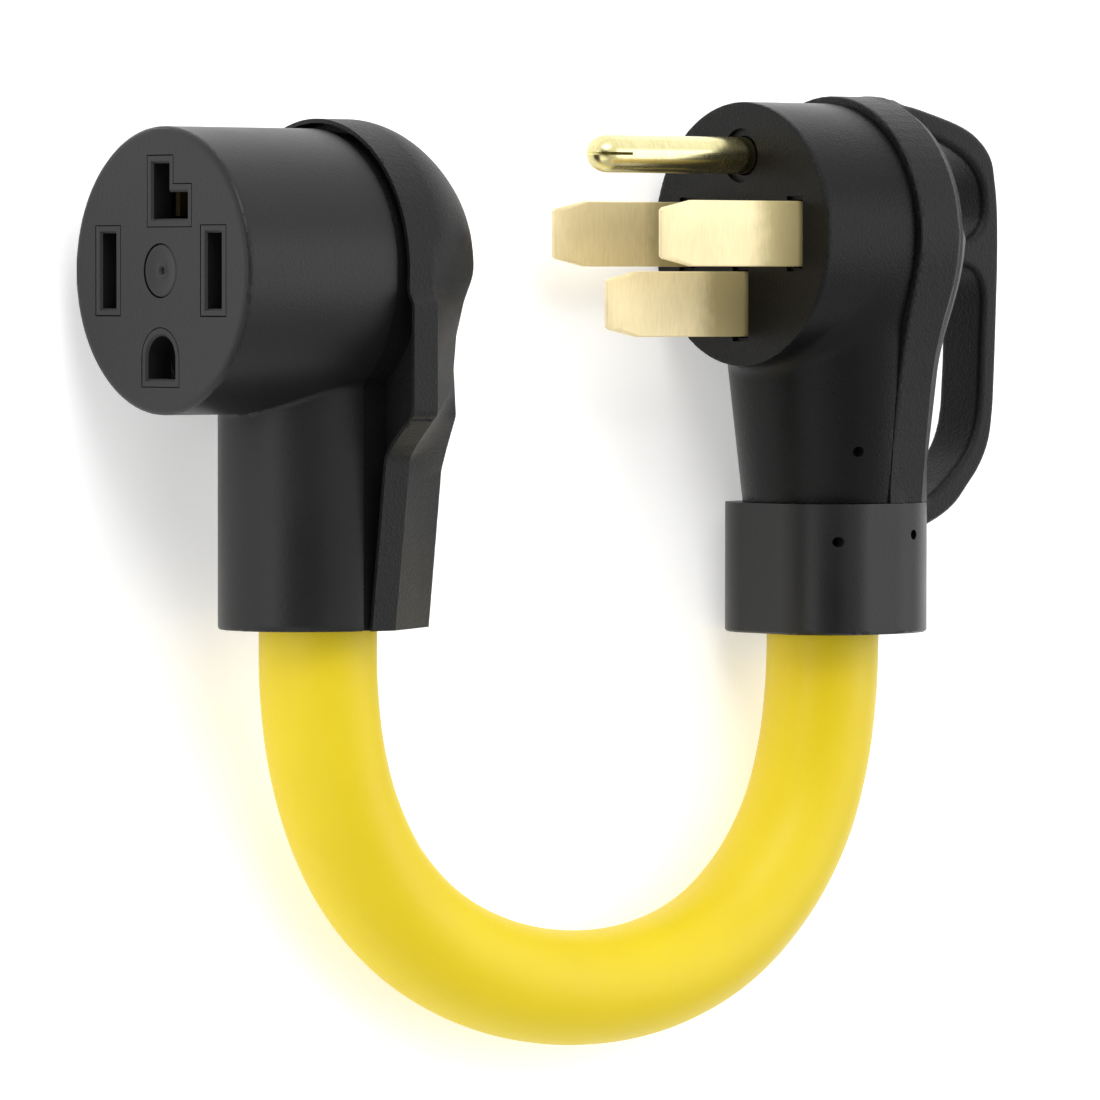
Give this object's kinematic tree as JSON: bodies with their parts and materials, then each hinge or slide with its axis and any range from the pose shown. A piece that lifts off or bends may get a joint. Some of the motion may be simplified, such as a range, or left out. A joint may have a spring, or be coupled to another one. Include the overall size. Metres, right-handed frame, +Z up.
{
  "type": "shore power adapter cord",
  "caption": "Short shore power adapter cord: right-angle 50 A plug with pull handle, right-angle 30 A four-wire socket, thick yellow cable bent in a U.",
  "frame": {"origin": "middle of the base, on the surface that the cord lies on, in the middle of the box round the two connectors and all their parts, without the cable", "axes": "+Z up, away from the surface; +Y from the socket to the plug, and from each face towards its back; +X down the stems towards the cable"},
  "size_m": [0.1939, 0.2228, 0.065],
  "materials": {
    "black_pvc_smooth": "satin",
    "black_pvc_grained": "matte, sparked grain",
    "black_pvc_fine_grain": "semi-matte, fine grain",
    "black_carrier": "satin",
    "black_rubber": "matte",
    "blade_brass": "drawn, satin",
    "pin_brass": "polished",
    "tinned_copper": "tinned",
    "yellow_jacket": "satin",
    "insulation_black": "satin",
    "insulation_red": "satin",
    "insulation_white": "satin",
    "insulation_green": "satin",
    "filler_paper": "matte"
  },
  "bodies": {
    "root": {"blade_carrier": "black_carrier", "cable_core_ground": "insulation_green", "cable_core_hot_x": "insulation_black", "cable_core_hot_y": "insulation_red", "cable_core_neutral": "insulation_white", "cable_filler": "filler_paper", "cable_jacket": "yellow_jacket", "contact_carrier": "black_carrier", "face_rivet": "black_carrier", "plug_blade_hot_x": "blade_brass", "plug_blade_hot_y": "blade_brass", "plug_blade_neutral": "blade_brass", "plug_collar": "black_pvc_fine_grain", "plug_cord_bushing": "black_rubber", "plug_crimp_ground": "tinned_copper", "plug_crimp_hot_x": "tinned_copper", "plug_crimp_hot_y": "tinned_copper", "plug_crimp_neutral": "tinned_copper", "plug_front_body": "black_pvc_fine_grain", "plug_ground_pin": "pin_brass", "plug_rear_cover": "black_pvc_grained", "socket_contact_ground": "blade_brass", "socket_contact_hot_x": "blade_brass", "socket_contact_hot_y": "blade_brass", "socket_contact_neutral": "blade_brass", "socket_cord_bushing": "black_rubber", "socket_crimp_ground": "tinned_copper", "socket_crimp_hot_x": "tinned_copper", "socket_crimp_hot_y": "tinned_copper", "socket_crimp_neutral": "tinned_copper", "socket_front_housing": "black_pvc_smooth", "socket_rear_cover": "black_pvc_grained"}
  },
  "joints": []
}
